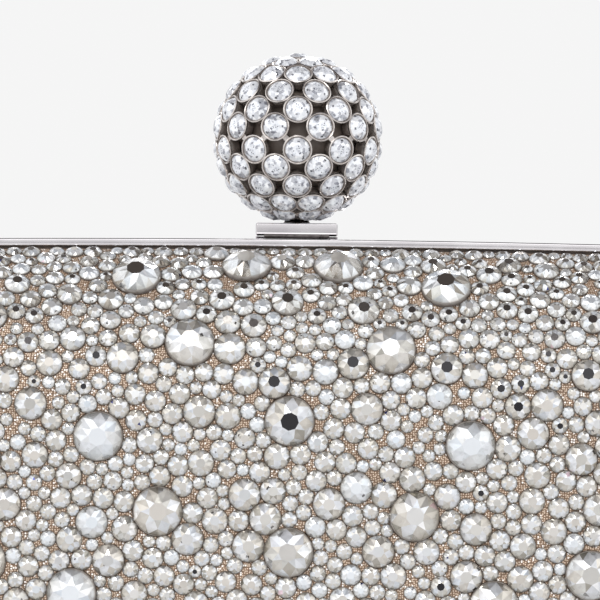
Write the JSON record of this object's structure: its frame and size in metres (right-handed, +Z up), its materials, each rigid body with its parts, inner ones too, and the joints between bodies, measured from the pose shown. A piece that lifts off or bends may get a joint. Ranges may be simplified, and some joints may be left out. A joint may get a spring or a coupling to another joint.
{
  "type": "clutch bag",
  "caption": "Hard box clutch with a polished hinged frame, pillow sides set with crystals, and a spring clasp worked by a crystal ball.",
  "frame": {"origin": "centre of the standing face, under the middle of the case", "axes": "+X along the width, to the right seen from the front; +Z up towards the ball clasp; the front faces -Y"},
  "size_m": [0.178, 0.0496, 0.1357],
  "materials": {
    "polished_frame": "polished silver-tone plate",
    "dark_hardware": "dark nickel plate",
    "crystal_cover": "close-set foil-backed cut crystals of mixed sizes",
    "ball_crystal": "round cut crystals in polished cups",
    "mesh_fabric": "fine nude mesh with a metallic thread",
    "shell": "moulded former",
    "lining": "nude satin",
    "ball_core": "dark moulded resin",
    "insert": "plain"
  },
  "bodies": {
    "rear_half": {"rear_frame": "polished_frame", "rear_cover": "crystal_cover", "rear_shell": "shell", "rear_lining": "lining", "rear_hinge_leaf_left": "polished_frame", "rear_hinge_leaf_right": "polished_frame", "hinge_pin_left": "dark_hardware", "hinge_pin_right": "dark_hardware", "clasp_bracket": "polished_frame", "clasp_pin": "dark_hardware", "clasp_spring": "dark_hardware", "bracket_rivet_left": "polished_frame", "bracket_rivet_right": "polished_frame"},
    "front_half": {"front_frame": "polished_frame", "front_cover": "crystal_cover", "front_shell": "shell", "front_lining": "lining", "front_hinge_leaf_left": "polished_frame", "front_hinge_leaf_right": "polished_frame", "clasp_keeper": "polished_frame", "keeper_rivet_left": "polished_frame", "keeper_rivet_right": "polished_frame"},
    "clasp": {"clasp_lever": "polished_frame", "clasp_hook": "dark_hardware", "ball_collar": "dark_hardware", "ball_screw": "dark_hardware", "ball_insert": "insert", "ball_core": "ball_core", "ball_cage": "ball_crystal"}
  },
  "joints": [
    {"name": "case_opening", "type": "hinge", "parent": "rear_half", "child": "front_half", "pos_m": [0, 0, 0.0013], "axis": [1, 0, 0], "range_deg": [0, 80]},
    {"name": "clasp_tilt", "type": "hinge", "parent": "rear_half", "child": "clasp", "pos_m": [0, 0.0028, 0.10358], "axis": [-1, 0, 0], "range_deg": [0, 10], "stiffness_Nm_per_rad": 0.05, "springref_deg": -17.19}
  ]
}
